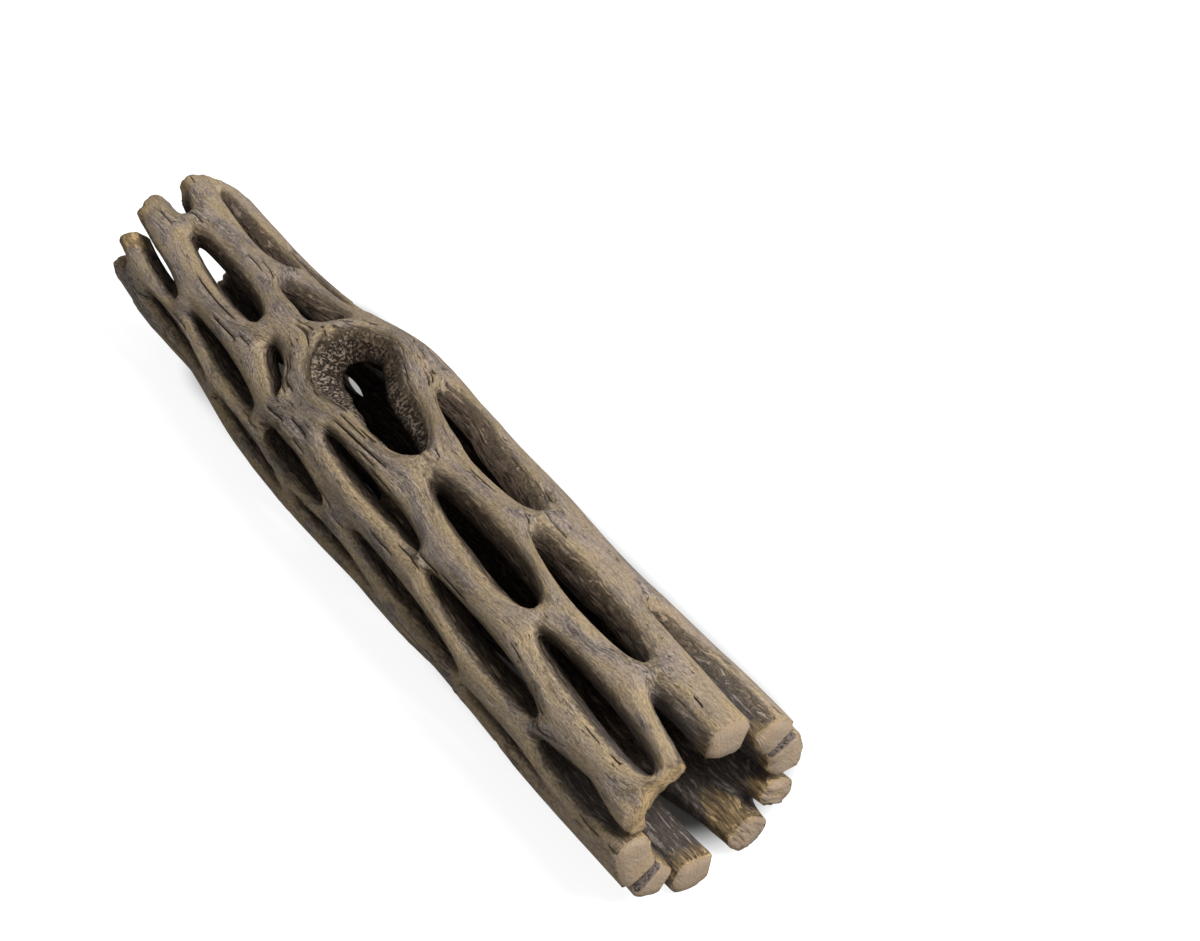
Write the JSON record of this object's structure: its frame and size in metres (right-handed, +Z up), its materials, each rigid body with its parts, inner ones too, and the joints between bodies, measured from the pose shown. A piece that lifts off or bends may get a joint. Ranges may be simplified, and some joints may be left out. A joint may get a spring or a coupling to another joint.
{
  "type": "cholla cactus skeleton",
  "caption": "Hollow, net-like wood cylinder of a dried cactus branch, sawn off at one end and broken at the other, with long oval holes in a spiral and a wide knot hole.",
  "frame": {"origin": "middle of the footprint, on the surface that the branch lies on", "axes": "+X along the branch towards its sawn end, +Z up"},
  "size_m": [0.1534, 0.0314, 0.0315],
  "materials": {
    "weathered_wood": "dry weathered wood, bleached grey-tan outside with ochre edges, brown and fibrous in the holes, matte"
  },
  "bodies": {
    "root": {"cholla_skeleton": "weathered_wood"}
  },
  "joints": []
}
